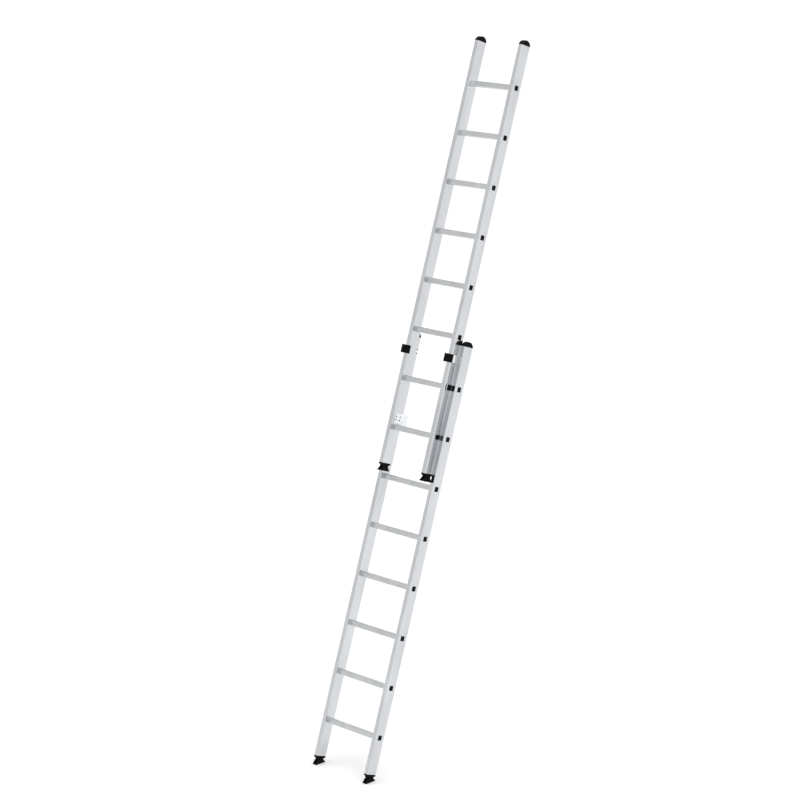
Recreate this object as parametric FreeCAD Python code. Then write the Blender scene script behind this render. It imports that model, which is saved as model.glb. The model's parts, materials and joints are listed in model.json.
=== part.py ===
import FreeCAD, Part
import math
import os

# A two-section extension ladder, drawn fully extended and leaning at its working angle.
#
# All sizes are millimetres. Each piece is drawn in the ladder's own frame: X to the
# right, Y away from the climber, Z up along the stiles. Z = 0 is the foot end of the
# lower stiles and Y = 0 the front face of the upper stiles. Pieces are drawn on the
# right-hand side and mirrored to the left. At the end the whole ladder is leaned back
# and stood on the floor, with its origin under the middle of its bounding box.

V = FreeCAD.Vector
X = V(1, 0, 0)
Y = V(0, 1, 0)
Z = V(0, 0, 1)
ALIGNED = 0.999             # cosine above which an edge counts as running along a direction
TOUCH = 0.1                 # an edge this near a plane counts as lying on it

# Driving dimensions: the two sections
rung_count = 8              # rungs in each section
rung_pitch = 280.0          # from one rung's centre to the next
foot_to_first_rung = 206.0  # from a stile's foot end to its first rung's centre
last_rung_to_top = 239.0    # from its last rung's centre to its top end
rungs_extended = 6          # the upper section hangs this many rungs above its stored place
lower_width = 420.0         # over the outer faces of the lower stiles
side_gap = 10.0             # between an upper stile and the lower stile beside it
nest_gap = 2.2              # between the upper stiles' backs and the lower rungs' fronts
lean_angle = 71.5           # from the floor

# Stiles: hollow box extrusions
stile_depth = 69.0
stile_thickness = 25.0
stile_wall = 1.5
stile_corner = 2.0

# Rungs: fluted square tube, through both walls of each stile
rung_side = 30.0
rung_wall = 1.5
rung_corner = 3.0
flute_count = 5             # on each of the four faces
flute_pitch = 4.4
flute_width = 1.6
flute_depth = 0.6

# Rung plugs
plug_lip = 0.5              # rung wall left showing round the plug's head
plug_proud = 1.5
plug_insert = 14.0
plug_corner = 2.0

# Extension stops: one upper rung is longer, and a wide plug caps each of its ends
stop_rung = 2
stop_rung_proud = 5.5       # past the outer face of each upper stile
stop_margin = 1.0           # how far the head stands out past the rung, all round
stop_clearance = 1.4        # to the lower stile
stop_corner = 4.0
stop_edge = 1.0
stop_dish_radius = 7.0
stop_dish_depth = 1.0

# Top caps
cap_height = 29.0
cap_proud = 2.0             # past the stile, all round
cap_insert = 34.0
cap_edge = 3.0

# Feet: a socket in each stile with a shoe hinged under it
insert_fit = 0.2            # between a plastic insert and the stile's walls
socket_insert = 45.0
flange_height = 11.0
flange_chamfer = 4.0        # along the flange's lower front and back edges
foot_proud = 0.5            # past the stile, all round
lug_thickness = 16.0
lug_top_half = 30.0         # half the lug's width where it leaves the flange
lug_waist_half = 24.5       # and level with the top of the shoe
lug_radius = 10.0
pivot_drop = 28.0           # from the stile's end to the hinge pin
pin_radius = 4.0
pin_running_gap = 0.05      # radial, in the socket's lug
pin_recess = 0.5            # each end, below the shoe's cheek
shoe_side_gap = 0.4         # between the lug and each cheek
shoe_slot_gap = 1.0         # under the lug
cheek_top_half = 20.0       # half the cheeks' width at their top
cheek_rise = 8.0            # from the hinge pin to the cheeks' top
cheek_corner = 2.5
sole_drop = 17.0            # from the hinge pin to the sole
sole_thickness = 9.0
sole_end_radius = 4.0
tread_count = 6
tread_pitch = 10.0
tread_width = 3.0
tread_depth = 2.0

# Guides near the top of the lower stiles
guide_rise = 158.5          # above the last lower rung's centre
bracket_thickness = 3.5
bracket_height = 43.0
bracket_back_margin = 4.0   # short of the lower stile's back face
bracket_bend = 3.0
glide_height = 46.5
glide_gap = 1.5             # in front of the upper stile
glide_wall = 2.0            # plastic over the bracket's front leg
glide_reach = 18.0          # inward past the upper stile
glide_cover = 9.0           # outward past the bracket
glide_end_wall = 6.0
glide_corner = 2.0

# Hooks on the inner faces of the upper stiles
hook_thickness = 3.0
hook_front = 16.0           # behind the upper stile's front face
hook_top = 78.0             # above the first upper rung's centre
hook_bottom = 22.0
hook_seat_gap = 0.3         # above the lower rung, where the hook rests
hook_back_gap = 2.5         # behind the lower rung
hook_shoulder = 7.0         # in front of the lower rung
hook_lip_width = 17.5
hook_lip_drop = 23.0        # below the rung's top face
hook_corner = 3.0
hook_hole_radius = 2.5
hook_hole_rise = 20.0       # above the lower rung's top face
hook_hole_spacing = 20.0

# Blind rivets
rivet_radius = 2.4
rivet_head_radius = 4.6
rivet_head_height = 1.4
rivet_head_round = 0.98     # on the rim of the head
rivet_bulb_radius = 3.6
rivet_bulb_length = 4.0
guide_rivet_rise = 11.5     # above and below the guide's middle
guide_rivet_inset = 11.5    # from the lower stile's front and back faces
hook_rivet_columns = (28.0, 58.0)
hook_rivet_rows = (41.0, 59.0)


class Section:
    """One half of the ladder: where its right-hand stile and its rungs are."""

    def __init__(self, name, width, front, foot):
        self.name = name
        self.outer = width / 2
        self.inner = width / 2 - stile_thickness
        self.middle = width / 2 - stile_thickness / 2
        self.front = front
        self.back = front + stile_depth
        self.centre = front + stile_depth / 2
        self.foot = foot
        self.top = foot + foot_to_first_rung + (rung_count - 1) * rung_pitch + last_rung_to_top

    def rung_height(self, number):
        return self.foot + foot_to_first_rung + (number - 1) * rung_pitch


upper_width = lower_width - 2 * (stile_thickness + side_gap)
lower_front = stile_depth + nest_gap - (stile_depth - rung_side) / 2
lower = Section("lower", lower_width, lower_front, 0.0)
upper = Section("upper", upper_width, 0.0, rungs_extended * rung_pitch)


# Shapes that several pieces share

def block(x, y, z):
    """A box between the two values given for each direction."""
    return Part.makeBox(x[1] - x[0], y[1] - y[0], z[1] - z[0], V(x[0], y[0], z[0]))


def edges_along(shape, direction):
    """The straight edges of a shape that run along a direction."""
    found = []
    for edge in shape.Edges:
        if len(edge.Vertexes) == 2 and edge.Curve.TypeId == "Part::GeomLine":
            run = edge.Vertexes[1].Point - edge.Vertexes[0].Point
            if abs(run.normalize().dot(direction)) > ALIGNED:
                found.append(edge)
    return found


def rounded(shape, radius, direction):
    """The shape with its edges along a direction rounded."""
    return shape.makeFillet(radius, edges_along(shape, direction))


def plate(outline, x):
    """A flat plate between two X values, from the (Y, Z) corners of its outline."""
    corners = [V(x[0], y, z) for y, z in outline]
    face = Part.Face(Part.makePolygon(corners + corners[:1]))
    return face.extrude(V(x[1] - x[0], 0, 0))


def rod(x, y, z, radius):
    """A round bar along X between two X values."""
    return Part.makeCylinder(radius, x[1] - x[0], V(x[0], y, z), X)


def rivet(face_x, grip, y, z):
    """A blind rivet along X. Its head stands on face_x, and its shank goes outward."""
    head = rod((face_x - rivet_head_height, face_x), y, z, rivet_head_radius)
    rim = [edge for edge in head.Edges if edge.BoundBox.XMax < face_x - rivet_head_height / 2]
    head = head.makeFillet(rivet_head_round, rim)
    shank = rod((face_x, face_x + grip), y, z, rivet_radius)
    bulb = rod((face_x + grip, face_x + grip + rivet_bulb_length), y, z, rivet_bulb_radius)
    return head.fuse([shank, bulb]).removeSplitter()


def insert_block(section, low, high):
    """The part of a plastic piece that fills a stile's hollow between two heights."""
    inset = stile_wall + insert_fit
    body = block((section.inner + inset, section.outer - inset),
                 (section.front + inset, section.back - inset), (low, high))
    return rounded(body, stile_corner - stile_wall + insert_fit, Z)


# Stiles and rungs

def rung_bar(section, proud=0.0):
    """The solid outside of the section's first rung, out to the stiles' outer faces and past them."""
    half = rung_side / 2
    height = section.rung_height(1)
    reach = section.outer + proud
    bar = block((-reach, reach), (section.centre - half, section.centre + half),
                (height - half, height + half))
    return rounded(bar, rung_corner, X)


def rung_bore(section, length, proud=0.0):
    """A bar that fills the first rung's hollow, as long as asked, ending at the rung's right-hand end."""
    half = rung_side / 2 - rung_wall
    height = section.rung_height(1)
    reach = section.outer + proud
    bar = block((reach - length, reach), (section.centre - half, section.centre + half),
                (height - half, height + half))
    return rounded(bar, plug_corner, X)


def rung_tube(section, proud=0.0):
    """The section's first rung: a square tube with shallow flutes along every face."""
    reach = section.outer + proud
    tube = rung_bar(section, proud).cut(rung_bore(section, 2 * reach, proud))
    height = section.rung_height(1)
    axis_point = V(0, section.centre, height)
    flutes = []
    for index in range(flute_count):
        offset = section.centre + (index - (flute_count - 1) / 2) * flute_pitch
        flute = block((-reach, reach),
                      (offset - flute_width / 2, offset + flute_width / 2),
                      (height + rung_side / 2 - flute_depth, height + rung_side / 2 + flute_depth))
        for quarter in range(4):
            turned = flute.copy()
            turned.rotate(axis_point, X, 90 * quarter)
            flutes.append(turned)
    return tube.cut(Part.makeCompound(flutes))


def up_the_rungs(shape, numbers):
    """Copies of a shape made for the first rung, at each rung in a list."""
    return [shape.translated(V(0, 0, (number - 1) * rung_pitch)) for number in numbers]


def stile(section):
    """A hollow box extrusion, with a square hole right through it for each rung."""
    body = block((section.inner, section.outer), (section.front, section.back),
                 (section.foot, section.top))
    hollow = block((section.inner + stile_wall, section.outer - stile_wall),
                   (section.front + stile_wall, section.back - stile_wall),
                   (section.foot, section.top))
    body = rounded(body, stile_corner, Z)
    hollow = rounded(hollow, stile_corner - stile_wall, Z)
    holes = up_the_rungs(rung_bar(section), range(1, rung_count + 1))
    return body.cut(hollow).cut(Part.makeCompound(holes))


# Plastic ends

def rung_plug(section):
    """The plug in the right-hand end of the first rung."""
    half = rung_side / 2 - plug_lip - plug_corner / 2
    height = section.rung_height(1)
    head = block((section.outer, section.outer + plug_proud),
                 (section.centre - half, section.centre + half), (height - half, height + half))
    head = rounded(head, plug_corner, X)
    face = [edge for edge in head.Edges if edge.BoundBox.XMin > section.outer + plug_proud / 2]
    head = head.makeFillet(plug_proud / 2, face)
    return head.fuse(rung_bore(section, plug_insert))


def extension_stop():
    """The wide plug on the long rung's end, which meets the guide when the ladder is drawn right out."""
    half = rung_side / 2 + stop_margin
    height = upper.rung_height(1)
    start = upper.outer + stop_rung_proud
    reach = upper.outer + side_gap - stop_clearance
    head = block((start, reach), (upper.centre - half, upper.centre + half), (height - half, height + half))
    head = rounded(head, stop_corner, X)
    face = [edge for edge in head.Edges if edge.BoundBox.XMin > reach - TOUCH]
    head = head.makeFillet(stop_edge, face)
    dish = rod((reach - stop_dish_depth, reach), upper.centre, height, stop_dish_radius)
    body = head.cut(dish).fuse(rung_bore(upper, plug_insert, stop_rung_proud))
    return up_the_rungs(body, [stop_rung])[0]


def top_cap(section):
    """A half-round cap with a plug that fills the stile's top end."""
    x = (section.inner - cap_proud, section.outer + cap_proud)
    left = V(x[0], section.front - cap_proud, section.top)
    crown = V(x[0], section.centre, section.top + cap_height)
    right = V(x[0], section.back + cap_proud, section.top)
    arch = Part.Arc(left, crown, right).toShape()
    base = Part.LineSegment(right, left).toShape()
    dome = Part.Face(Part.Wire([arch, base])).extrude(V(x[1] - x[0], 0, 0))
    rims = [edge for edge in dome.Edges if edge.BoundBox.ZLength > cap_height / 2]
    dome = dome.makeFillet(cap_edge, rims)
    return dome.fuse(insert_block(section, section.top - cap_insert, section.top))


# Feet

def pivot(section):
    return V(section.middle, section.centre, section.foot - pivot_drop)


def foot_socket(section):
    """The plug in a stile's foot end, with a flange under the stile and a lug for the hinge pin."""
    point = pivot(section)
    under = section.foot - flange_height
    front = section.front - foot_proud
    back = section.back + foot_proud
    flange = plate([(front, section.foot), (back, section.foot), (back, under + flange_chamfer),
                    (back - flange_chamfer, under), (front + flange_chamfer, under),
                    (front, under + flange_chamfer)],
                   (section.inner - foot_proud, section.outer + foot_proud))
    flange = rounded(flange, stile_corner, Z)
    x = (section.middle - lug_thickness / 2, section.middle + lug_thickness / 2)
    waist = point.z + cheek_rise
    web = plate([(point.y - lug_top_half, under), (point.y + lug_top_half, under),
                 (point.y + lug_waist_half, waist), (point.y + lug_radius, point.z),
                 (point.y - lug_radius, point.z), (point.y - lug_waist_half, waist)], x)
    tip = rod(x, point.y, point.z, lug_radius)
    bore = rod(x, point.y, point.z, pin_radius + pin_running_gap)
    plug = insert_block(section, section.foot, section.foot + socket_insert)
    return flange.fuse([web, tip, plug]).cut(bore).removeSplitter()


def shoe(section, tilt):
    """The hinged shoe: two cheeks that taper up past the pin, over a wide sole with treads."""
    point = pivot(section)
    x = (section.inner - foot_proud, section.outer + foot_proud)
    half = stile_depth / 2 + foot_proud
    sole_bottom = point.z - sole_drop
    sole_top = sole_bottom + sole_thickness
    sole = block(x, (point.y - half, point.y + half), (sole_bottom, sole_top))
    sole = rounded(sole, sole_end_radius, X)
    cheek_half = half - sole_end_radius
    cheek_foot = (sole_bottom + sole_top) / 2
    cheek_top = point.z + cheek_rise
    cheek = plate([(point.y - cheek_half, cheek_foot), (point.y + cheek_half, cheek_foot),
                   (point.y + cheek_half, sole_top), (point.y + cheek_top_half, cheek_top),
                   (point.y - cheek_top_half, cheek_top), (point.y - cheek_half, sole_top)], x)
    crown = [edge for edge in edges_along(cheek, X) if edge.BoundBox.ZMin > cheek_top - TOUCH]
    cheek = cheek.makeFillet(cheek_corner, crown)
    gap = lug_thickness / 2 + shoe_side_gap
    slot = block((point.x - gap, point.x + gap), (point.y - half, point.y + half),
                 (point.z - lug_radius - shoe_slot_gap, cheek_top))
    bore = rod(x, point.y, point.z, pin_radius)
    cuts = [slot, bore]
    for index in range(tread_count):
        offset = point.y + (index - (tread_count - 1) / 2) * tread_pitch
        cuts.append(block(x, (offset - tread_width / 2, offset + tread_width / 2),
                          (sole_bottom - tread_depth, sole_bottom + tread_depth)))
    body = sole.fuse(cheek).removeSplitter().cut(Part.makeCompound(cuts))
    body.rotate(point, X, tilt)
    return body


def shoe_pin(section):
    """The hinge pin, held in the shoe's cheeks and free in the socket's lug."""
    point = pivot(section)
    x = (section.inner - foot_proud + pin_recess, section.outer + foot_proud - pin_recess)
    return rod(x, point.y, point.z, pin_radius)


# Guides

guide_height = lower.rung_height(rung_count) + guide_rise
guide_face = lower.inner - bracket_thickness
guide_rivet_depths = (lower.front + guide_rivet_inset, lower.back - guide_rivet_inset)
guide_rivet_heights = (guide_height - guide_rivet_rise, guide_height + guide_rivet_rise)


def guide_rivets():
    grip = bracket_thickness + stile_wall
    return [rivet(guide_face, grip, y, z) for y in guide_rivet_depths for z in guide_rivet_heights]


def guide_bracket():
    """An angle plate: its side leg lies on the lower stile, its front leg crosses the upper one."""
    half = bracket_height / 2
    leg_back = -glide_gap - glide_wall
    leg_front = leg_back - bracket_thickness
    z = (guide_height - half, guide_height + half)
    side = block((guide_face, lower.inner), (leg_front, lower.back - bracket_back_margin), z)
    front = block((upper.inner - glide_reach + glide_end_wall, lower.inner), (leg_front, leg_back), z)
    angle = side.fuse(front).removeSplitter()
    bend = [edge for edge in edges_along(angle, Z)
            if edge.BoundBox.XMin > lower.inner - TOUCH and edge.BoundBox.YMax < leg_front + TOUCH]
    angle = angle.makeFillet(bracket_bend, bend)
    return angle.cut(Part.makeCompound(guide_rivets()))


def guide_glide():
    """The plastic moulding round the bracket's front leg, which keeps the upper stile in."""
    half = glide_height / 2
    front = -glide_gap - 2 * glide_wall - bracket_thickness
    body = block((upper.inner - glide_reach, lower.inner + glide_cover), (front, -glide_gap),
                 (guide_height - half, guide_height + half))
    body = rounded(body, glide_corner, Y)
    face = [edge for edge in body.Edges if edge.BoundBox.YMax < front + TOUCH]
    body = body.makeFillet(glide_wall / 2, face)
    return body.cut(guide_bracket())


# Hooks

hook_level = upper.rung_height(1)
hook_face = upper.inner - hook_thickness


def hook_rivets():
    grip = hook_thickness + stile_wall
    return [rivet(hook_face, grip, y, hook_level + z)
            for y in hook_rivet_columns for z in hook_rivet_rows]


def rung_hook():
    """A flat steel hook on the upper stile, over the lower rung behind it."""
    rung_top = hook_level + rung_side / 2
    rung_front = lower.centre - rung_side / 2
    rung_back = lower.centre + rung_side / 2
    seat = rung_top + hook_seat_gap
    lip_front = rung_back + hook_back_gap
    lip_back = lip_front + hook_lip_width
    lip_end = rung_top - hook_lip_drop
    outline = [(hook_front, hook_level + hook_bottom), (hook_front, hook_level + hook_top),
               (lip_back, hook_level + hook_top), (lip_back, lip_end), (lip_front, lip_end),
               (lip_front, seat), (rung_front - hook_shoulder, seat),
               (rung_front - 2 * hook_shoulder, hook_level + hook_bottom)]
    x = (hook_face, upper.inner)
    body = rounded(plate(outline, x), hook_corner, X)
    holes = hook_rivets()
    for side in (-1, 1):
        holes.append(rod(x, lower.centre + side * hook_hole_spacing / 2, rung_top + hook_hole_rise,
                         hook_hole_radius))
    return body.cut(Part.makeCompound(holes))


# The pieces, by node name. Those made in pairs are drawn on the right and mirrored.

def pair(pieces, pattern, shape):
    pieces[pattern % "right"] = shape
    pieces[pattern % "left"] = shape.mirror(V(0, 0, 0), X)


pieces = {}
for section, tilt in ((lower, 90 - lean_angle), (upper, 0.0)):
    every_rung = range(1, rung_count + 1)
    plugged = [number for number in every_rung if section is lower or number != stop_rung]
    frame = stile(section)
    if section is lower:
        frame = frame.cut(Part.makeCompound(guide_rivets()))
    else:
        frame = frame.cut(Part.makeCompound(hook_rivets()))
    pair(pieces, section.name + "_%s_stile", frame)
    for number in every_rung:
        proud = 0.0 if number in plugged else stop_rung_proud
        pieces["%s_rung_%d" % (section.name, number)] = up_the_rungs(rung_tube(section, proud), [number])[0]
    pair(pieces, section.name + "_%s_rung_plugs",
         Part.makeCompound(up_the_rungs(rung_plug(section), plugged)))
    pair(pieces, section.name + "_%s_top_cap", top_cap(section))
    pair(pieces, section.name + "_%s_foot_socket", foot_socket(section))
    pair(pieces, section.name + "_%s_shoe", shoe(section, tilt))
    pair(pieces, section.name + "_%s_shoe_pin", shoe_pin(section))
pair(pieces, "%s_guide_bracket", guide_bracket())
pair(pieces, "%s_guide_glide", guide_glide())
pair(pieces, "%s_guide_rivets", Part.makeCompound(guide_rivets()))
pair(pieces, "%s_rung_hook", rung_hook())
pair(pieces, "%s_hook_rivets", Part.makeCompound(hook_rivets()))
pair(pieces, "%s_extension_stop", extension_stop())


# Lean the ladder back, stand it on the floor and write each node.

def leaned(shape, shift):
    placed = shape.copy()
    placed.rotate(V(0, 0, 0), X, lean_angle - 90)
    placed.translate(shift)
    return placed


whole = Part.makeCompound([leaned(shape, V(0, 0, 0)) for shape in pieces.values()])
bounds = whole.optimalBoundingBox(False, False)
stand = V(0, -(bounds.YMin + bounds.YMax) / 2, -bounds.ZMin)

os.makedirs("parts", exist_ok=True)
for name, shape in pieces.items():
    placed = leaned(shape, stand)
    placed.exportStep("parts/%s.step" % name)
    print("%-26s %d solids, %8.1f cm3, valid %s"
          % (name, len(placed.Solids), placed.Volume / 1000, placed.isValid()))


def in_row_frame(x, y, z):
    point = FreeCAD.Rotation(X, lean_angle - 90).multVec(V(x, y, z)) + stand
    return "[%.6f, %.6f, %.6f]" % (point.x / 1000, point.y / 1000, point.z / 1000)


print("overall", [round(size, 2) for size in (bounds.XLength, bounds.YLength, bounds.ZLength)])
for section in (lower, upper):
    point = pivot(section)
    print(section.name, "shoe pivot", in_row_frame(point.x, point.y, point.z))
    print(section.name, "first rung", in_row_frame(0, section.centre, section.rung_height(1)))
    print(section.name, "stile's back at the top",
          in_row_frame(section.middle, section.back, section.top - last_rung_to_top / 2))
print("slide axis", [0, round(math.cos(math.radians(lean_angle)), 6),
                     round(math.sin(math.radians(lean_angle)), 6)])
print("room above the extension stop",
      guide_height - bracket_height / 2 - upper.rung_height(stop_rung) - rung_side / 2)
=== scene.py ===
# %% [markdown]
# # An extension ladder, finished in Blender
# The ladder arrives as a CAD model: two aluminium sections that slide on each other, with black plastic
# ends. The CAD pieces hold the sizes and the joints. This lesson gives them finished meshes and materials,
# in metres, in the same frame. The first step loads the frame and keeps its box, because nothing may grow
# past it.

import json
import math

import bmesh
import bpy
from mathutils import Matrix, Vector


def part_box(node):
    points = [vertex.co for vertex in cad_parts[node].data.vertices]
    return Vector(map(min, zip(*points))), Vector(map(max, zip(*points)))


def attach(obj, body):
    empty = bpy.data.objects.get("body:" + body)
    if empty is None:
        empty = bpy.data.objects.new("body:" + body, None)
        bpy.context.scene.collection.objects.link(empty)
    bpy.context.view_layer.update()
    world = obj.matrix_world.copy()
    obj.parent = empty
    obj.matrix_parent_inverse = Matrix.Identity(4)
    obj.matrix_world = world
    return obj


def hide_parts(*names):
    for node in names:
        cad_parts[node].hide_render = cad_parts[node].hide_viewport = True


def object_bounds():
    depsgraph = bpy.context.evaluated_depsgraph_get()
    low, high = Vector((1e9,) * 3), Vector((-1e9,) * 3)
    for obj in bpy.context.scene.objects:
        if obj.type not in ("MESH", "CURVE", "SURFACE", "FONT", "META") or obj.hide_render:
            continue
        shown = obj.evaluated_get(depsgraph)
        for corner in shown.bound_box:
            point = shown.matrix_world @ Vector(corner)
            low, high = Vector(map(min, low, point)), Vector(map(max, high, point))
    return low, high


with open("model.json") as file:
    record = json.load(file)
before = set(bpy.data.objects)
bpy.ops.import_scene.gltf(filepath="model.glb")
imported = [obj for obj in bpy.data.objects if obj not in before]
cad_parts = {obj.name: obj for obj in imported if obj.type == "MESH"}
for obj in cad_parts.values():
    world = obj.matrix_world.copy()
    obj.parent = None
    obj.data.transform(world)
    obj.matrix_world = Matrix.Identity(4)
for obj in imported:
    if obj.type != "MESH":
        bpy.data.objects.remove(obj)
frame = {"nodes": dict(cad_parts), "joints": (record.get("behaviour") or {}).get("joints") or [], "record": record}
cad_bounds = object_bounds()
low_corner, high_corner = (Vector(corner) for corner in cad_bounds)

# %% [markdown]
# ## The ladder's own directions
# The ladder leans, so X, Y and Z aren't the directions a ladder maker thinks in. The slide joint's axis is
# the direction of the stiles. With it every piece can be drawn upright, as on a bench, and leaned at the
# end by one matrix. That is simpler than turning each piece by hand, and it leaves every object at the
# origin.

# %% Lean and upright boxes
slide = next(joint for joint in frame["joints"] if joint["type"] == "slide")
up_the_stiles = Vector(slide["axis"]).normalized()
away = up_the_stiles.cross(Vector((1, 0, 0)))
lean = Matrix((Vector((1, 0, 0)), away, up_the_stiles)).transposed().to_4x4()
upright = lean.inverted()
MM = 0.001


def upright_box(name):
    """The lowest and highest corners of a CAD node, measured with the ladder turned upright."""
    corners = [upright @ vertex.co for vertex in frame["nodes"][name].data.vertices]
    low = Vector([min(corner[axis] for corner in corners) for axis in range(3)])
    high = Vector([max(corner[axis] for corner in corners) for axis in range(3)])
    return low, high


lean_degrees = math.degrees(math.asin(up_the_stiles.z))
print("the stiles lean at %.1f degrees from the floor" % lean_degrees)

# %% [markdown]
# ## Camera
# A ladder is long and thin, so a long lens from far away keeps its stiles nearly parallel. The camera
# stands to the right and a little above, and it points beside the ladder's middle so that the ladder sits
# off centre.

# %% Camera
camera_azimuth = math.radians(44.36)
camera_elevation = math.radians(13.70)
camera_distance = 13.867
aim_left = 0.1262  # metres from the ladder's middle, as the camera sees it
aim_up = 0.0342
sensor_width = 36.0  # millimetres, like the lens
lens_length = 112.76

view_right = Vector((math.cos(camera_azimuth), math.sin(camera_azimuth), 0))
to_camera = Vector((math.sin(camera_azimuth) * math.cos(camera_elevation),
                    -math.cos(camera_azimuth) * math.cos(camera_elevation), math.sin(camera_elevation)))
view_up = to_camera.cross(view_right)
middle = (low_corner + high_corner) / 2
aim = middle - aim_left * view_right + aim_up * view_up

camera_data = bpy.data.cameras.new("camera")
camera_data.sensor_width = sensor_width
camera_data.lens = lens_length
camera = bpy.data.objects.new("camera", camera_data)
camera.matrix_world = Matrix((view_right, view_up, to_camera)).transposed().to_4x4()
camera.location = aim + camera_distance * to_camera
bpy.context.scene.collection.objects.link(camera)
bpy.context.scene.camera = camera
print("camera at", [round(value, 3) for value in camera.location])

# %% [markdown]
# ## Nodes and colours
# Every material below is a small node tree. One function adds a node, sets its values and joins its inputs,
# which keeps each tree a few lines long. Colours are written as the sRGB hex values a paint chart gives,
# and one function turns them to the linear values that shaders work in. Two more mix a pair of colours into
# a material and raise its bumps.

# %% Helpers for node trees


def linear(hex_colour):
    """An sRGB hex colour as linear RGBA."""
    channels = [int(hex_colour[start:start + 2], 16) / 255 for start in (1, 3, 5)]
    return [c / 12.92 if c <= 0.04045 else ((c + 0.055) / 1.055) ** 2.4 for c in channels] + [1.0]


def add(tree, kind, settings=None, **inputs):
    """Adds a node. Settings are its own properties; inputs are values, or outputs to link from."""
    node = tree.nodes.new("ShaderNode" + kind)
    for name, value in (settings or {}).items():
        setattr(node, name, value)
    for name, value in inputs.items():
        socket = node.inputs[int(name[1:])] if name[1:].isdigit() else node.inputs[name.replace("_", " ")]
        if isinstance(value, bpy.types.NodeSocket):
            tree.links.new(value, socket)
        else:
            socket.default_value = value
    return node


def add_tone(tree, share, first, second):
    """Mixes two colours into the base colour, by a share that varies over the surface."""
    tone = add(tree, "Mix", {"data_type": "RGBA"}, _0=share, _6=linear(first), _7=linear(second))
    tree.links.new(tone.outputs[2], tree.nodes["Principled BSDF"].inputs["Base Color"])


def add_relief(tree, height, strength, depth):
    """Makes bumps, this many millimetres deep, of a height that varies over the surface."""
    relief = add(tree, "Bump", Height=height, Strength=strength, Distance=depth * MM)
    tree.links.new(relief.outputs[0], tree.nodes["Principled BSDF"].inputs["Normal"])


print("a mid grey, linear:", [round(value, 3) for value in linear("#808080")])

# %% [markdown]
# ## Studio
# Bright metal shows its surroundings, so the room matters more than the lamps. The sky is white at the
# horizon, a little grey above it, where the stiles' front faces and the rungs' tops look, and brightest
# straight overhead, like a large softbox. A real softbox mesh would do the same, but it would show as a
# hard rectangle in every polished face.

# %% Sky, overhead softbox and floor
scene = bpy.context.scene
scene.view_settings.view_transform = "Standard"

world = bpy.data.worlds.new("studio")
world.use_nodes = True
scene.world = world
tree = world.node_tree
tree.nodes.clear()
direction = add(tree, "TexCoord").outputs["Generated"]
height = add(tree, "SeparateXYZ", Vector=direction).outputs["Z"]
horizon_light = 1.03
sky_steps = ((0.03, 0.16, -0.19), (0.30, 0.50, -0.14), (0.78, 0.90, 1.25))  # from, to, change of light
light = horizon_light
for start, end, change in sky_steps:
    step = add(tree, "MapRange", Value=height, From_Min=start, From_Max=end, To_Min=0.0, To_Max=change)
    light = add(tree, "Math", {"operation": "ADD"}, _0=light, _1=step.outputs[0]).outputs[0]
background = add(tree, "Background", Color=(1, 1, 1, 1), Strength=light)
tree.links.new(background.outputs[0], add(tree, "OutputWorld").inputs["Surface"])

key_place = Vector((5.0, -3.0, 7.0))
key_data = bpy.data.lights.new("key", "AREA")
key_data.shape = "DISK"
key_data.size = 3.0
key_data.energy = 45
key = bpy.data.objects.new("key", key_data)
key.location = key_place
key.rotation_euler = (middle - key_place).to_track_quat("-Z", "Y").to_euler()
scene.collection.objects.link(key)

floor_radius = 40.0
clump_size = 0.4
bm = bmesh.new()
bmesh.ops.create_circle(bm, cap_ends=True, segments=96, radius=floor_radius)
floor_mesh = bpy.data.meshes.new("floor")
bm.to_mesh(floor_mesh)
bm.free()
floor = bpy.data.objects.new("floor", floor_mesh)
scene.collection.objects.link(floor)
# Heavy seamless paper, pressed smooth at the mill. Its fibres clump a little, so its white isn't even.
paper = bpy.data.materials.new("white_paper_floor")
paper.use_nodes = True
tree = paper.node_tree
place = add(tree, "TexCoord").outputs["Object"]
clumps = add(tree, "TexNoise", Vector=place, Scale=1 / clump_size, Detail=4.0)
add_tone(tree, clumps.outputs["Fac"], "#FCFCFC", "#FFFFFF")
tree.nodes["Principled BSDF"].inputs["Roughness"].default_value = 0.9
floor_mesh.materials.append(paper)
print("studio ready, floor radius", floor_radius, "m")

# %% [markdown]
# ## Metals
# The stiles and rungs are mill-finish aluminium: pressed hot through a steel die and left as they come. The
# die leaves fine lines along the bar, and handling leaves soft cloudy patches. Real die lines are about 0.2
# mm apart, too fine to show on a four metre ladder, so they are drawn ten times as coarse and very shallow.
# Noise pulled long along one axis makes both, which needs no image and follows the bar wherever it goes.

# %% Bright metals
finishes = {}
tone_patch = 90  # millimetres
gloss_patch = 35
line_strength = 0.25


def from_size(millimetres):
    """The scale a pattern needs for features of this size, when coordinates are in metres."""
    return 1 / (millimetres * MM)


def new_finish(name):
    material = bpy.data.materials.new(name)
    material.use_nodes = True
    finishes[name] = material
    return material.node_tree, material.node_tree.nodes["Principled BSDF"]


def bench_coordinates(tree, stretch=(1, 1, 1)):
    """Object coordinates turned upright, so that Z runs along the stiles, and stretched along each axis."""
    place = add(tree, "TexCoord").outputs["Object"]
    turned = add(tree, "Mapping", Vector=place, Rotation=upright.to_euler())
    return add(tree, "Mapping", Vector=turned.outputs[0], Scale=stretch).outputs[0]


def cloudy(tree, size, low, high, stretch=(1, 1, 1)):
    """A value that drifts between two limits in patches of a size in millimetres."""
    place = bench_coordinates(tree, stretch)
    patches = add(tree, "TexNoise", Vector=place, Scale=from_size(size), Detail=3.0)
    return add(tree, "MapRange", Value=patches.outputs["Fac"], From_Min=0.3, From_Max=0.7,
               To_Min=low, To_Max=high).outputs[0]


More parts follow.
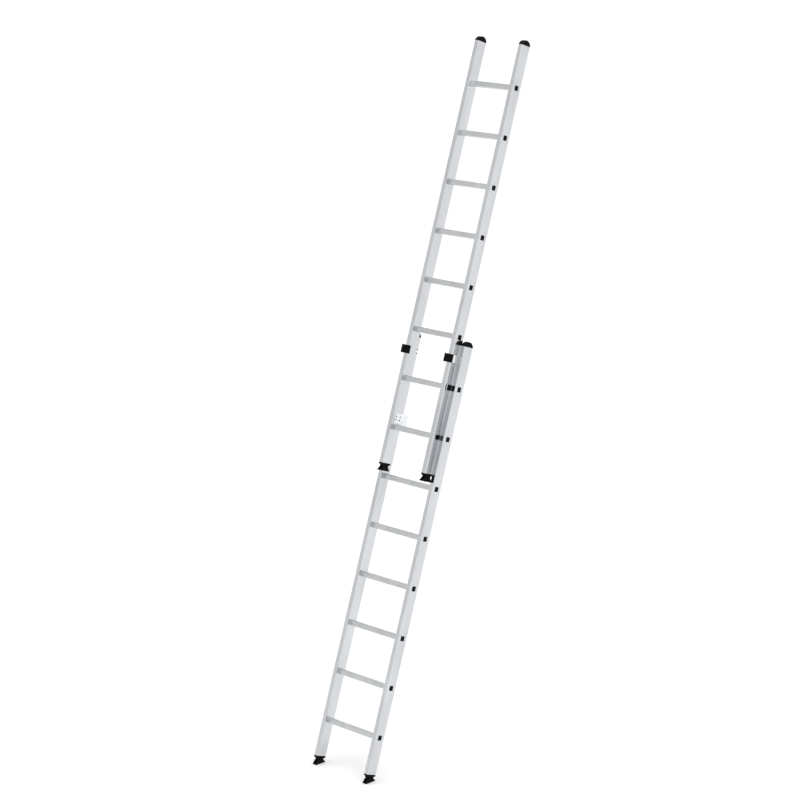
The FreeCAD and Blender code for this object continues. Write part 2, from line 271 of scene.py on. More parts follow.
def add_gloss(tree, size, roughness, least, most, stretch=(1, 1, 1)):
    """Lets the roughness drift between two shares of its usual value, in patches of a size in mm."""
    drift = cloudy(tree, size, roughness * least, roughness * most, stretch)
    tree.links.new(drift, tree.nodes["Principled BSDF"].inputs["Roughness"])


def add_metal(name, dark, light, roughness, line_size, line_stretch, line_depth):
    """A bright metal with drifting tone and gloss, and fine lines along its bar or sheet."""
    tree, shader = new_finish(name)
    shader.inputs["Metallic"].default_value = 1.0
    add_tone(tree, cloudy(tree, tone_patch, 0.0, 1.0, (1, 1, 0.3)), dark, light)
    add_gloss(tree, gloss_patch, roughness, 0.8, 1.25, (1, 1, 0.4))
    lines = add(tree, "TexNoise", Vector=bench_coordinates(tree, line_stretch), Scale=from_size(line_size),
                Detail=2.0)
    add_relief(tree, lines.outputs["Fac"], line_strength, line_depth)


along_stile = (1, 1, 0.01)
along_rung = (0.01, 1, 1)
add_metal("stile_aluminium", "#C9CBCE", "#D5D7DA", 0.13, 2.0, along_stile, 0.03)
add_metal("rung_aluminium", "#C8CACC", "#D5D7D8", 0.20, 2.0, along_rung, 0.03)
add_metal("bracket_aluminium", "#E0E2E3", "#EAEBEC", 0.22, 1.5, along_stile, 0.02)
print("aluminium finishes:", sorted(finishes))

# %% [markdown]
# Zinc plate on steel is a touch bluer and softer than aluminium, with faint crystals a few millimetres
# across. Voronoi cells make the crystals: each is lightest in its middle and darkens towards its border.
# The hinge pins are blackened in a hot salt bath instead of plated, so they are nearly as dark as the shoes
# they hold.

# %% Zinc-plated steel
tarnish_patch = 6  # millimetres


def add_zinc(name, dark, light, roughness, crystal):
    tree, shader = new_finish(name)
    shader.inputs["Metallic"].default_value = 1.0
    cells = add(tree, "TexVoronoi", Vector=bench_coordinates(tree), Scale=from_size(crystal))
    add_tone(tree, cells.outputs["Distance"], light, dark)
    add_gloss(tree, tarnish_patch, roughness, 0.8, 1.3)


add_zinc("hook_steel", "#E2E6E9", "#F2F4F5", 0.28, 5.0)
add_zinc("rivet_steel", "#505255", "#65686B", 0.32, 3.0)
add_zinc("pin_steel", "#232426", "#303133", 0.38, 3.0)
print("steel finishes:", [name for name in finishes if "steel" in name])

# %% [markdown]
# ## Plastic and rubber
# Caps, plugs, glides and sockets are injection-moulded polypropylene, dyed black. The mould is spark
# eroded, which leaves an even fine grain: noise in the bump and a satin roughness. The shoes are rubber,
# duller and coarser. Both drink light, so the specular level is turned well below the usual half to keep
# black black in a white room.

# %% Black mouldings
dye_patch = 12  # millimetres
satin_patch = 8
grain_strength = 0.5


def add_moulding(name, dark, light, roughness, grain, grain_depth, shine):
    tree, shader = new_finish(name)
    shader.inputs["Specular IOR Level"].default_value = shine
    add_tone(tree, cloudy(tree, dye_patch, 0.0, 1.0), dark, light)
    add_gloss(tree, satin_patch, roughness, 0.9, 1.1)
    pits = add(tree, "TexNoise", Vector=bench_coordinates(tree), Scale=from_size(grain), Detail=4.0)
    add_relief(tree, pits.outputs["Fac"], grain_strength, grain_depth)


add_moulding("black_plastic", "#060607", "#0B0B0C", 0.42, 0.8, 0.08, 0.06)
add_moulding("foot_plastic", "#070708", "#0C0C0D", 0.48, 0.8, 0.08, 0.06)
add_moulding("shoe_rubber", "#0A0A0B", "#111112", 0.70, 1.6, 0.25, 0.08)
print("mouldings:", [name for name in finishes if "steel" not in name and "aluminium" not in name])

# %% [markdown]
# Every CAD piece gets its finish from the slot the record names. Pieces that are remade below are hidden
# when their stand-in takes over; the stiles stay, because a plain hollow bar with rung holes is already
# right.

# %% Finish the CAD pieces
slot_of = {part["node"]: part["material_slot"] for part in frame["record"]["subparts"]}
body_of = {node: body for body, nodes in frame["record"]["behaviour"]["bodies"].items() for node in nodes}
for name, node in frame["nodes"].items():
    node.data.materials.clear()
    node.data.materials.append(finishes[slot_of[name]])
print("CAD pieces given a finish:", len(slot_of))

# %% [markdown]
# ## Shaping tools
# Nearly every piece on a ladder is a flat outline given a thickness, with its corners and rims rounded. So
# a few helpers cover most of the modelling: they make plates and rods, find the edges along a direction or
# in a plane, round them, sink a panel into a face and cut one shape out of another. A last one leans the
# piece, gives it a finish and puts it on its body.

# %% Plates, edges and rounding
near = 0.01 * MM  # places closer than this count as one
merge_distance = 0.002 * MM
parallel = 0.999  # the cosine from which an edge counts as running along an axis
sharp_angle = math.radians(40)
softened_angle = math.radians(50)
panel_draft = 0.04  # how much smaller a panel's floor is than its opening
quarter_turn = math.radians(90)


def verts_of(made):
    """The vertices among what a bmesh operator made."""
    return [item for item in made["geom"] if isinstance(item, bmesh.types.BMVert)]


def plate(bm, outline, low, high, axis=0):
    """A plate between two values of an axis, from its outline's corners on the other two axes, in order."""
    corners = []
    for pair in outline:
        place = list(pair)
        place.insert(axis, low)
        corners.append(bm.verts.new(place))
    face = bm.faces.new(corners)
    moved = verts_of(bmesh.ops.extrude_face_region(bm, geom=[face]))
    travel = Vector((0, 0, 0))
    travel[axis] = high - low
    bmesh.ops.translate(bm, verts=moved, vec=travel)
    return corners + moved


def box(bm, low, high):
    return plate(bm, [(low[1], low[2]), (high[1], low[2]), (high[1], high[2]), (low[1], high[2])],
                 low[0], high[0])


def add_rod(bm, centre, radius, length, segments=40, start_radius=None):
    """A round rod along X, tapered if its start has a radius of its own."""
    bmesh.ops.create_cone(bm, cap_ends=True, segments=segments, radius1=start_radius or radius,
                          radius2=radius, depth=length,
                          matrix=Matrix.Translation(centre) @ Matrix.Rotation(quarter_turn, 4, "Y"))


def arc(centre_a, centre_b, radius, start, end, steps=8):
    """Points of an outline on an arc, between two angles in degrees."""
    angles = [math.radians(start + (end - start) * step / steps) for step in range(steps + 1)]
    return [(centre_a + radius * math.cos(angle), centre_b + radius * math.sin(angle)) for angle in angles]


def edges_along(verts, axis):
    """The edges between these vertices that run along X, Y or Z (0, 1 or 2)."""
    own = set(verts)
    found = {edge for vert in verts for edge in vert.link_edges if edge.other_vert(vert) in own}
    return [edge for edge in found
            if abs((edge.verts[1].co - edge.verts[0].co).normalized()[axis]) > parallel]


def edges_at(bm, axis, value):
    """The edges that lie in the plane where an axis has this value."""
    return [edge for edge in bm.edges if all(abs(vert.co[axis] - value) < near for vert in edge.verts)]


def round_off(bm, edges, radius, segments=4):
    bmesh.ops.bevel(bm, geom=edges, offset=radius, offset_type="OFFSET", affect="EDGES",
                    segments=segments, profile=0.5, material=-1, clamp_overlap=True)


def sink_panel(bm, axis, value, share, depth, centre):
    """Sinks the middle of the flat face at this value of an axis, near a centre, and leaves a border."""
    face = min((face for face in bm.faces if all(abs(vert.co[axis] - value) < near for vert in face.verts)),
               key=lambda face: (face.calc_center_median() - centre).length)
    travel = Vector((0, 0, 0))
    travel[axis] = depth
    about_centre = Matrix.Translation(-centre)
    for size, vec in ((share, Vector((0, 0, 0))), (1 - panel_draft, travel)):
        grown = bmesh.ops.extrude_face_region(bm, geom=[face])
        bmesh.ops.scale(bm, verts=verts_of(grown), vec=(size, size, size), space=about_centre)
        bmesh.ops.translate(bm, verts=verts_of(grown), vec=vec)
        bmesh.ops.delete(bm, geom=[face], context="FACES_ONLY")
        face = next(item for item in grown["geom"] if isinstance(item, bmesh.types.BMFace))


def cut_away(bm, cutter):
    """What is left of one bench model when another is cut out of it."""
    things = []
    for model in (bm, cutter):
        bmesh.ops.recalc_face_normals(model, faces=model.faces)
        mesh = bpy.data.meshes.new("bench")
        model.to_mesh(mesh)
        model.free()
        things.append(bpy.data.objects.new("bench", mesh))
        scene.collection.objects.link(things[-1])
    knife = things[0].modifiers.new("knife", "BOOLEAN")
    knife.operation = "DIFFERENCE"
    knife.solver = "EXACT"
    knife.object = things[1]
    whole = things[0].evaluated_get(bpy.context.evaluated_depsgraph_get())
    left = bmesh.new()
    left.from_mesh(whole.to_mesh())
    for thing in things:
        bpy.data.meshes.remove(thing.data)
    return left


def finish_piece(bm, name, nodes, place=lean, mirror=False, soft_edge=0.0):
    """Makes a bench model a piece: mirrored if it is the left one, put in place, finished and riding."""
    if mirror:
        bmesh.ops.scale(bm, vec=(-1, 1, 1), verts=bm.verts)
    bmesh.ops.remove_doubles(bm, verts=bm.verts, dist=merge_distance)
    bmesh.ops.recalc_face_normals(bm, faces=bm.faces)
    bmesh.ops.transform(bm, matrix=place, verts=bm.verts)
    mesh = bpy.data.meshes.new(name)
    bm.to_mesh(mesh)
    bm.free()
    mesh.shade_smooth()
    mesh.set_sharp_from_angle(angle=sharp_angle)
    mesh.materials.append(finishes[slot_of[nodes[0]]])
    piece = bpy.data.objects.new(name, mesh)
    scene.collection.objects.link(piece)
    if soft_edge:
        softened = piece.modifiers.new("softened_edges", "BEVEL")
        softened.width = soft_edge
        softened.segments = 2
        softened.limit_method = "ANGLE"
        softened.angle_limit = softened_angle
    piece.modifiers.new("flat_faces_stay_flat", "WEIGHTED_NORMAL").keep_sharp = True
    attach(piece, body_of[nodes[0]])
    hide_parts(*nodes)
    return piece


sides = (("right", False), ("left", True))
sections = ("lower", "upper")
print("shaping tools ready")

# %% [markdown]
# ## Rungs
# A rung is a square aluminium tube with five shallow flutes on each face for grip. It passes through both
# stiles. In the press, the tube is squeezed so that a collar swells up against each stile's inner face and
# holds it. One face's outline is drawn with a few vertices, spun in quarter turns into a closed profile,
# and then extruded from station to station. At the collar's stations the profile is scaled up, which is how
# the metal moves too.

# %% Rung profile and tube
rung_names = [name for name in frame["nodes"] if "_rung_" in name and name[-1].isdigit()]
flute_count = 5
flute_pitch = 4.4 * MM
flute_half = 0.8 * MM
flute_depth = 0.6 * MM
rung_corner = 3.0 * MM
rung_wall = 1.5 * MM
collar_width = 4.0 * MM
collar_rise = 0.9 * MM
collar_steps = 6
flute_curve = ((-1, 0), (-0.6, 0.7), (0, 1), (0.6, 0.7), (1, 0))  # shares of its half width and its depth


def rung_profile(bm, x, centre_y, centre_z, half):
    """The closed outline of a fluted square tube, at one X."""
    corners = [bm.verts.new((x, centre_y - half, centre_z + half))]
    for index in range(flute_count):
        middle_y = centre_y + (index - (flute_count - 1) / 2) * flute_pitch
        for share, depth in flute_curve:
            corners.append(bm.verts.new((x, middle_y + share * flute_half,
                                         centre_z + half - depth * flute_depth)))
    corners.append(bm.verts.new((x, centre_y + half, centre_z + half)))
    edges = [bm.edges.new(pair) for pair in zip(corners, corners[1:])]
    bmesh.ops.spin(bm, geom=corners + edges, cent=(x, centre_y, centre_z), axis=(1, 0, 0), dvec=(0, 0, 0),
                   angle=math.radians(270), steps=3, use_duplicate=True)
    bmesh.ops.remove_doubles(bm, verts=bm.verts, dist=near)
    outer = [vert for vert in bm.verts
             if min(abs(vert.co.y - centre_y), abs(vert.co.z - centre_z)) > half - near]
    bmesh.ops.bevel(bm, geom=outer, offset=rung_corner, offset_type="OFFSET", affect="VERTICES",
                    segments=4, profile=0.5, material=-1)


def collar_stations(face, way):
    """The X and the swell of a collar that stands against a stile's inner face."""
    for step in range(collar_steps + 1):
        yield (face - way * collar_width * step / collar_steps,
               collar_rise * math.sin(math.pi * step / collar_steps))


for name in rung_names:
    section = name.split("_")[0]
    low, high = upright_box(name)
    half = (high.z - low.z) / 2
    centre = (low + high) / 2
    inner_face = upright_box(section + "_right_stile")[0].x
    bm = bmesh.new()
    rung_profile(bm, low.x, centre.y, centre.z, half)
    stations = sorted([*collar_stations(-inner_face, -1), *collar_stations(inner_face, 1)]) + [(high.x, 0)]
    ring = list(bm.edges)
    last_x, last_size = low.x, 1.0
    for x, swell in stations:
        grown = bmesh.ops.extrude_edge_only(bm, edges=ring)
        ring = [item for item in grown["geom"] if isinstance(item, bmesh.types.BMEdge)]
        verts = verts_of(grown)
        size = 1 + swell / half
        bmesh.ops.translate(bm, verts=verts, vec=(x - last_x, 0, 0))
        bmesh.ops.scale(bm, verts=verts, vec=(1, size / last_size, size / last_size),
                        space=Matrix.Translation((0, -centre.y, -centre.z)))
        last_x, last_size = x, size
    bmesh.ops.recalc_face_normals(bm, faces=bm.faces)
    piece = finish_piece(bm, name + "_tube", [name])
    wall = piece.modifiers.new("wall", "SOLIDIFY")
    wall.thickness = rung_wall
    wall.offset = -1
print("rungs:", len(rung_names), "tubes of", len(piece.data.polygons), "faces")

# %% [markdown]
# ## Rung plugs
# Each rung's end is closed by a square plug, tapped in until its head sits on the rung. The head is a thin
# plate with round corners, a soft rim and a sunk panel, which keeps the moulding's wall even. The part
# inside the rung is a plain block. All the plugs of one stile belong to one node, so they are made in one
# mesh by a loop.

# %% Plugs
plug_corner = 2.2 * MM
plug_rim = 0.7 * MM
plug_lip = 1.5 * MM
panel_share = 0.62
panel_depth = 0.6 * MM


def add_shank(bm, inner_end, start, centre, rung_half):
    """The plain block of a plug that fills the rung's end."""
    bore_half = rung_half - rung_wall - flute_depth
    shank = box(bm, (inner_end, centre.y - bore_half, centre.z - bore_half),
                (start, centre.y + bore_half, centre.z + bore_half))
    round_off(bm, edges_along(shank, 0), plug_corner, 2)


def add_plug(bm, start, inner_end, outer_end, centre, rung_half):
    head_half = rung_half - plug_lip
    head = box(bm, (start, centre.y - head_half, centre.z - head_half),
               (outer_end, centre.y + head_half, centre.z + head_half))
    round_off(bm, edges_along(head, 0), plug_corner)
    rim = [edge for edge in edges_at(bm, 0, outer_end) if abs(edge.verts[0].co.z - centre.z) < rung_half]
    round_off(bm, rim, plug_rim, 3)
    sink_panel(bm, 0, outer_end, panel_share, -panel_depth, Vector((outer_end, centre.y, centre.z)))
    add_shank(bm, inner_end, start, centre, rung_half)


plug_total = 0
for section in sections:
    stile_face = upright_box(section + "_right_stile")[1].x
    plugs_low, plugs_high = upright_box(section + "_right_rung_plugs")
    own_rungs = [upright_box(name) for name in rung_names if name.startswith(section)]
    plugged = [(low, high) for low, high in own_rungs if high.x < stile_face + MM]
    for side, is_left in sides:
        bm = bmesh.new()
        for low, high in plugged:
            add_plug(bm, stile_face, plugs_low.x, plugs_high.x, (low + high) / 2, (high.z - low.z) / 2)
        node = "%s_%s_rung_plugs" % (section, side)
        finish_piece(bm, node + "_moulded", [node], mirror=is_left)
        plug_total += len(plugged)
print("rung plugs:", plug_total)

# %% [markdown]
# ## Extension stops
# One rung of the upper section is longer and sticks out of its stiles. The wide plug on each of its ends
# runs up against the guide when the ladder is fully out. Its outer face has a round dish, which a tapered
# plug cuts out of it: a boolean is the shortest way to put a round hollow in a square face.

# %% Stops
stop_corner = 4.0 * MM
stop_rim = 1.0 * MM
dish_radius = 7.0 * MM
dish_depth = 1.0 * MM
dish_taper = 0.85  # the cutter's inner end, as a share of the dish's radius
long_rung = max(rung_names, key=lambda name: upright_box(name)[1].x if name.startswith("upper") else 0)
rung_low, rung_high = upright_box(long_rung)
low, high = upright_box("right_extension_stop")
centre = (low + high) / 2
for side, is_left in sides:
    bm = bmesh.new()
    head = box(bm, (rung_high.x, low.y, low.z), (high.x, high.y, high.z))
    round_off(bm, edges_along(head, 0), stop_corner, 6)
    round_off(bm, edges_at(bm, 0, high.x), stop_rim, 3)
    dish = bmesh.new()
    add_rod(dish, (high.x, centre.y, centre.z), dish_radius, dish_depth * 2,
            start_radius=dish_radius * dish_taper)
    bm = cut_away(bm, dish)
    add_shank(bm, low.x, rung_high.x, centre, (rung_high.z - rung_low.z) / 2)
    finish_piece(bm, side + "_stop_moulded", [side + "_extension_stop"], mirror=is_left)
print("extension stops stand", round((high.x - upright_box("upper_right_stile")[1].x) / MM, 1), "mm out")

# %% [markdown]
# ## Top caps
# A half-round cap closes the top of each stile. Its crown is an arc, its sides are flat with a shallow sunk
# panel that follows the arc, and a lip runs round its foot where it sits on the stile. The arc comes from
# spinning one vertex round the arc's centre; the centre follows from the cap's width and height alone.

# %% Caps
cap_lip_height = 2.2 * MM
cap_lip_inset = 0.5 * MM  # from the CAD cap's front and back, so that the lip's corner stays inside its arc
cap_lip_proud = 0.6 * MM
cap_lip_rim = 0.6 * MM
cap_rim = 3.0 * MM
cap_panel_share = 0.72
cap_panel_depth = 0.7 * MM
arc_steps = 28
hollow_slack = 1.8 * MM
insert_corner = 1.0 * MM


def add_insert(bm, section, low_z, high_z):
    """The block that fills a stile's hollow between two heights."""
    low, high = upright_box(section + "_right_stile")
    block = box(bm, (low.x + hollow_slack, low.y + hollow_slack, low_z),
                (high.x - hollow_slack, high.y - hollow_slack, high_z))
    round_off(bm, edges_along(block, 2), insert_corner, 2)


for section in sections:
    seat = upright_box(section + "_right_stile")[1].z
    low, high = upright_box(section + "_right_top_cap")
    low.y += cap_lip_inset
    high.y -= cap_lip_inset
    border = Vector((cap_lip_proud, cap_lip_proud, 0))
    dome_low = Vector((low.x, low.y, seat)) + border
    dome_high = high - border
    half_width = (dome_high.y - dome_low.y) / 2
    rise = dome_high.z - seat
    radius = (half_width ** 2 + rise ** 2) / (2 * rise)
    centre_y = (low.y + high.y) / 2
    half_angle = math.asin(half_width / radius)
    for side, is_left in sides:
        bm = bmesh.new()
        first = bm.verts.new((dome_low.x, dome_low.y, seat))
        bmesh.ops.spin(bm, geom=[first], cent=(dome_low.x, centre_y, dome_high.z - radius), axis=(-1, 0, 0),
                       dvec=(0, 0, 0), angle=2 * half_angle, steps=arc_steps, use_duplicate=False)
        ends = [vert for vert in bm.verts if len(vert.link_edges) == 1]
        bm.edges.new(ends)
        wall = bmesh.ops.contextual_create(bm, geom=list(bm.edges))["faces"]
        moved = verts_of(bmesh.ops.extrude_face_region(bm, geom=wall))
        bmesh.ops.translate(bm, verts=moved, vec=(dome_high.x - dome_low.x, 0, 0))
        rims = [edge for x in (dome_low.x, dome_high.x) for edge in edges_at(bm, 0, x)
                if max(vert.co.z for vert in edge.verts) > seat + MM]
        round_off(bm, rims, cap_rim, 4)
        for x, way in ((dome_low.x, 1), (dome_high.x, -1)):
            sink_panel(bm, 0, x, cap_panel_share, way * cap_panel_depth,
                       Vector((x, centre_y, seat + cap_lip_height + rise / 3)))
        lip = box(bm, (low.x, low.y, seat), (high.x, high.y, seat + cap_lip_height))
        round_off(bm, edges_along(lip, 2), cap_rim, 4)
        round_off(bm, edges_at(bm, 2, seat + cap_lip_height), cap_lip_rim, 2)
        add_insert(bm, section, low.z, seat)
        node = "%s_%s_top_cap" % (section, side)
        finish_piece(bm, node + "_moulded", [node], mirror=is_left)
print("caps rise", round(rise / MM, 1), "mm on an arc of radius", round(radius / MM, 1), "mm")

# %% [markdown]
# ## Foot sockets
# A moulded plug fills each stile's foot end. Under the stile it has a thick flange with sloping undersides,
# and from the flange a lug hangs down and narrows to the hinge pin. The flange and lug are two plates with
# simple outlines; a Bevel modifier rounds every sharp edge a little, as any moulding's edges are.

# %% Sockets
flange_height = 11.0 * MM
flange_slope = 4.0 * MM
flange_corner = 2.5 * MM
lug_half_thickness = 8.0 * MM
lug_top_half = 30.0 * MM
lug_waist_half = 24.5 * MM
waist_rise = 8.0 * MM
moulded_edge = 0.5 * MM
pivots = {joint["child"]: Vector(joint["pos_m"]) for joint in frame["joints"] if joint["type"] == "hinge"}

for section in sections:
    pivot = upright @ pivots[section + "_right_shoe"]
    low, high = upright_box(section + "_right_foot_socket")
    foot = upright_box(section + "_right_stile")[0].z
    under = foot - flange_height
    tip = pivot.z - low.z
    for side, is_left in sides:
        bm = bmesh.new()
        flange = plate(bm, [(low.y, foot), (high.y, foot), (high.y, under + flange_slope),
                            (high.y - flange_slope, under), (low.y + flange_slope, under),
                            (low.y, under + flange_slope)], low.x, high.x)
        round_off(bm, edges_along(flange, 2), flange_corner)
        waist = pivot.z + waist_rise
        plate(bm, [(pivot.y - lug_top_half, under + flange_slope / 2), (pivot.y - lug_waist_half, waist),
                   *arc(pivot.y, pivot.z, tip, 180, 360, 16),
                   (pivot.y + lug_waist_half, waist), (pivot.y + lug_top_half, under + flange_slope / 2)],
              pivot.x - lug_half_thickness, pivot.x + lug_half_thickness)
        add_insert(bm, section, foot, high.z)
        node = "%s_%s_foot_socket" % (section, side)
        finish_piece(bm, node + "_moulded", [node], mirror=is_left, soft_edge=moulded_edge)
print("socket flanges are", round((high.y - low.y) / MM, 1), "mm deep")

# %% [markdown]
# ## Shoes and their pins
# The shoe is one rubber moulding: a sole with grooves across it, and two cheeks that rise on either side of
# the lug. Its outline is the same all the way across, so a single plate makes it, grooves and all. A box
# cuts the slot for the lug, and a rod through each cheek cuts the pin's hole. It is drawn round its own
# hinge. A lower shoe stands level on the floor, so it is only moved into place; an upper shoe is square to
# its stile and leans with it.

# %% Shoe outline
sole_thickness = 9.0 * MM
sole_end = 4.0 * MM
cheek_top_half = 20.0 * MM
cheek_corner = 2.5 * MM
slot_half = 8.4 * MM
groove_count = 6
groove_pitch = 10.0 * MM
groove_half = 1.5 * MM
groove_depth = 2.0 * MM
groove_slope = 0.3 * MM


def shoe_outline(half, bottom, top):
    """The side view of a shoe, as (Y, Z) points round its hinge, starting along the sole."""
    grooves = []
    for index in range(groove_count):
        middle_y = (index - (groove_count - 1) / 2) * groove_pitch
        floor_half = groove_half - groove_slope
        grooves += [(middle_y - groove_half, bottom), (middle_y - floor_half, bottom + groove_depth),
                    (middle_y + floor_half, bottom + groove_depth), (middle_y + groove_half, bottom)]
    sole_top = bottom + sole_thickness
    heel = [*arc(half - sole_end, bottom + sole_end, sole_end, -90, 0, 5),
            *arc(half - sole_end, sole_top - sole_end, sole_end, 0, 90, 5),
            *arc(cheek_top_half - cheek_corner, top - cheek_corner, cheek_corner, 30, 90, 4)]
    toe = [(-y, z) for y, z in reversed(heel)]
    return grooves + heel + toe


low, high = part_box("lower_right_shoe")
pin_low, pin_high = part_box("lower_right_shoe_pin")
level_pivot = pivots["lower_right_shoe"]
outline = shoe_outline((high.y - low.y) / 2, low.z - level_pivot.z, high.z - level_pivot.z)
print("shoe outline:", len(outline), "points, sole", round((high.y - low.y) / MM, 1), "mm long")

# %% Shoes and pins
slot_floor = -11.0 * MM
shoe_half = (high.x - low.x) / 2
pin_half = (pin_high.x - pin_low.x) / 2
pin_radius = (pin_high.z - pin_low.z) / 2
pin_chamfer = 0.6 * MM
pin_hollow_share = 0.55
cutter_reach = 1.2 * max(y for y, z in outline)
for section in sections:
    turn = Matrix.Identity(4) if section == "lower" else lean
    for side, is_left in sides:
        node = "%s_%s_shoe" % (section, side)
        place = Matrix.Translation(pivots[node]) @ turn
        bm = bmesh.new()
        plate(bm, outline, -shoe_half, shoe_half)
        slot_cutter = bmesh.new()
        box(slot_cutter, (-slot_half, -cutter_reach, slot_floor), (slot_half, cutter_reach, cutter_reach))
        for cheek in (-1, 1):
            add_rod(slot_cutter, (cheek * shoe_half, 0, 0), pin_radius, 2 * (shoe_half - slot_half) + MM)
        finish_piece(cut_away(bm, slot_cutter), node + "_rubber", [node], place, soft_edge=moulded_edge)
        bm = bmesh.new()
        add_rod(bm, (0, 0, 0), pin_radius, 2 * pin_half)
        for end in (-pin_half, pin_half):
            round_off(bm, edges_at(bm, 0, end), pin_chamfer, 1)
            sink_panel(bm, 0, end, pin_hollow_share, -math.copysign(pin_chamfer, end), Vector((end, 0, 0)))
        finish_piece(bm, node + "_pin_turned", [node + "_pin"], place)
print("shoes:", len(pivots), "with pins of radius", round(pin_radius / MM, 1), "mm")

# %% [markdown]
# ## Guides
# Near the top of each lower stile an angle of aluminium sheet holds the upper stile in. Its long leg is
# riveted to the lower stile, and a black glide covers its short leg in front of the upper one. Sheet always
# bends with a radius, so the angle is an L-shaped plate whose bend edge is rounded.

# %% Guide brackets
sheet = 3.5 * MM
bend = 3.0 * MM
leg_corner = 4.0 * MM
sheet_edge = 0.3 * MM
low, high = upright_box("right_guide_bracket")
for side, is_left in sides:
    bm = bmesh.new()
    angle = plate(bm, [(high.x, high.y), (high.x - sheet, high.y), (high.x - sheet, low.y + sheet),
                       (low.x, low.y + sheet), (low.x, low.y), (high.x, low.y)], low.z, high.z, axis=2)
    outer_bend = [edge for edge in edges_along(angle, 2)
                  if (edge.verts[0].co.xy - Vector((high.x, low.y))).length < MM]
    round_off(bm, outer_bend, bend)
    back_corners = [edge for edge in edges_at(bm, 1, high.y)
                    if abs(edge.verts[0].co.z - edge.verts[1].co.z) < MM]
    round_off(bm, back_corners, leg_corner)
    finish_piece(bm, side + "_bracket_sheet", [side + "_guide_bracket"], mirror=is_left,
                 soft_edge=sheet_edge)
leg_low = low
leg_high = Vector((high.x, low.y + sheet, high.z))
print("guide brackets reach", round((high.y - low.y) / MM), "mm back")

# %% Guide glides
glide_corner = 2.0 * MM
glide_rim = 1.0 * MM
glide_panel_share = 0.84
glide_panel_depth = 0.4 * MM
low, high = upright_box("right_guide_glide")
centre = (low + high) / 2
for side, is_left in sides:
    bm = bmesh.new()
    block = box(bm, low, high)
    round_off(bm, edges_along(block, 1), glide_corner)
    round_off(bm, edges_at(bm, 1, low.y), glide_rim, 3)
    sink_panel(bm, 1, low.y, glide_panel_share, glide_panel_depth, Vector((centre.x, low.y, centre.z)))
    leg = bmesh.new()
    box(leg, leg_low, leg_high)
    finish_piece(cut_away(bm, leg), side + "_glide_moulded", [side + "_guide_glide"], mirror=is_left)
print("glides are", round((high.x - low.x) / MM), "by", round((high.z - low.z) / MM), "mm")

# %% [markdown]
# ## Rung hooks
# A flat steel hook is riveted to each upper stile's inner face and rests on the lower rung behind it. It is
# punched from plate, so it has one thickness, round corners, and two spare rivet holes over the rung.

# %% Hooks
seat_gap = 0.3 * MM
body_rise = 7.0 * MM
shoulder = 7.0 * MM
lip_gap = 2.5 * MM
hook_corner = 3.0 * MM
spare_hole_radius = 2.5 * MM
spare_hole_rise = 20.0 * MM
spare_hole_spacing = 20.0 * MM
low, high = upright_box("right_rung_hook")
hooked = [upright_box(name) for name in rung_names if name.startswith("lower")]
rung_low, rung_high = min(hooked, key=lambda corners: abs(corners[1].z - (low.z + high.z) / 2))
seat = rung_high.z + seat_gap
body_foot = rung_high.z + body_rise
rung_middle = (rung_low.y + rung_high.y) / 2
lip_front = rung_high.y + lip_gap
hook_outline = [(low.y, body_foot), (low.y, high.z), (high.y, high.z), (high.y, low.z), (lip_front, low.z),
                (lip_front, seat), (rung_low.y - shoulder, seat), (rung_low.y - 2 * shoulder, body_foot)]
for side, is_left in sides:
    bm = bmesh.new()
    round_off(bm, edges_along(plate(bm, hook_outline, low.x, high.x), 0), hook_corner, 5)
    drills = bmesh.new()
    for way in (-0.5, 0.5):
        hole = (low.x, rung_middle + way * spare_hole_spacing, rung_high.z + spare_hole_rise)
        add_rod(drills, hole, spare_hole_radius, 4 * (high.x - low.x), segments=32)
    finish_piece(cut_away(bm, drills), side + "_hook_plate", [side + "_rung_hook"], mirror=is_left,
                 soft_edge=sheet_edge)
print("hooks are", round((high.x - low.x) / MM, 1), "mm plate,", round((high.z - low.z) / MM), "mm tall")

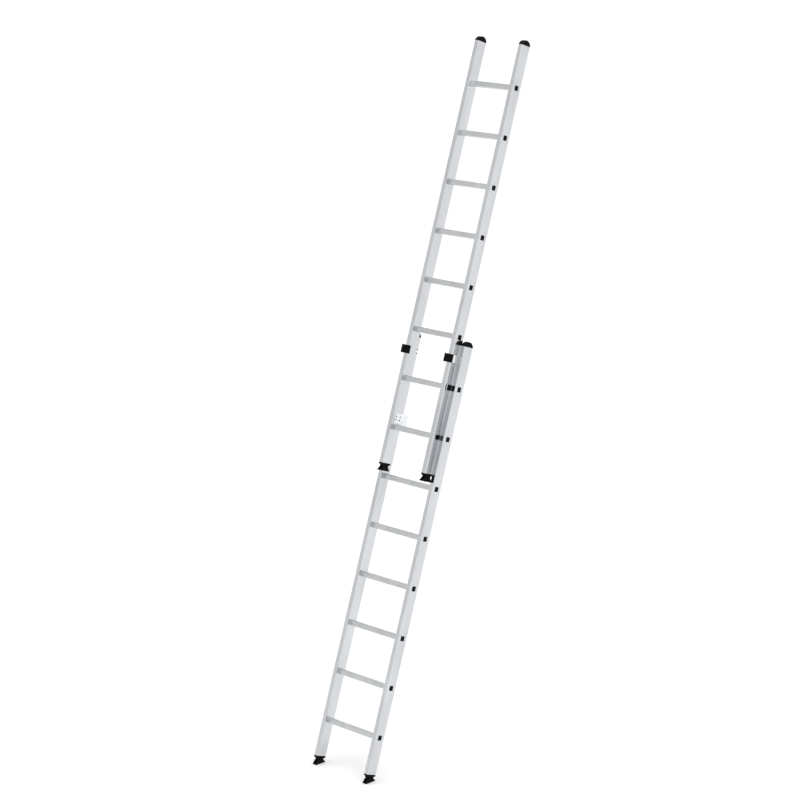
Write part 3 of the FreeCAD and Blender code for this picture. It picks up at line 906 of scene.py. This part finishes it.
# %% [markdown]
# ## Rivets
# Blind rivets hold the brackets and hooks. The head is a low dome with a hole where the mandrel broke off,
# and behind the wall the shank swells into a bulb. All of that is one profile, spun once round the rivet's
# axis.

# %% Rivets
head_radius = 4.6 * MM
head_height = 1.4 * MM
shank_radius = 2.4 * MM
bulb_radius = 3.6 * MM
bulb_length = 4.0 * MM
bulb_chamfer = 1.0 * MM
spin_steps = 28
# The mandrel's hole and the dome: shares of the head's height down from its top, and of its radius out.
head_curve = ((0.60, 0), (0.60, 0.26), (0.05, 0.32), (0, 0.42), (0.12, 0.68), (0.45, 0.90), (0.80, 1))


def add_rivet(bm, top_x, end_x, y, z):
    """A rivet along X, with its head's top and its bulb's end at these X values."""
    seat_x = top_x + head_height
    bulb_x = end_x - bulb_length
    profile = [(top_x + down * head_height, out * head_radius) for down, out in head_curve]
    profile += [(seat_x, head_radius), (seat_x, shank_radius), (bulb_x, shank_radius),
                (bulb_x, bulb_radius), (end_x - bulb_chamfer, bulb_radius),
                (end_x, bulb_radius - bulb_chamfer), (end_x, 0)]
    points = [bm.verts.new((x, y, z + radius)) for x, radius in profile]
    edges = [bm.edges.new(pair) for pair in zip(points, points[1:])]
    bmesh.ops.spin(bm, geom=points + edges, cent=(0, y, z), axis=(1, 0, 0), dvec=(0, 0, 0),
                   angle=math.radians(360), steps=spin_steps, use_merge=True, use_duplicate=False)


for kind in ("guide", "hook"):
    low, high = upright_box("right_%s_rivets" % kind)
    for side, is_left in sides:
        bm = bmesh.new()
        for y in (low.y + head_radius, high.y - head_radius):
            for z in (low.z + head_radius, high.z - head_radius):
                add_rivet(bm, low.x, high.x, y, z)
        node = "%s_%s_rivets" % (side, kind)
        finish_piece(bm, node + "_set", [node], mirror=is_left)
    print(kind, "rivets:", round((high.y - low.y - 2 * head_radius) / MM, 1), "mm apart")

# %% [markdown]
# ## Finish
# The visual model has to stay inside the CAD model's box, so both boxes are written down before the last
# The CAD model's box, measured at the start, is printed.

# %% The CAD box
print("CAD box:", cad_bounds)
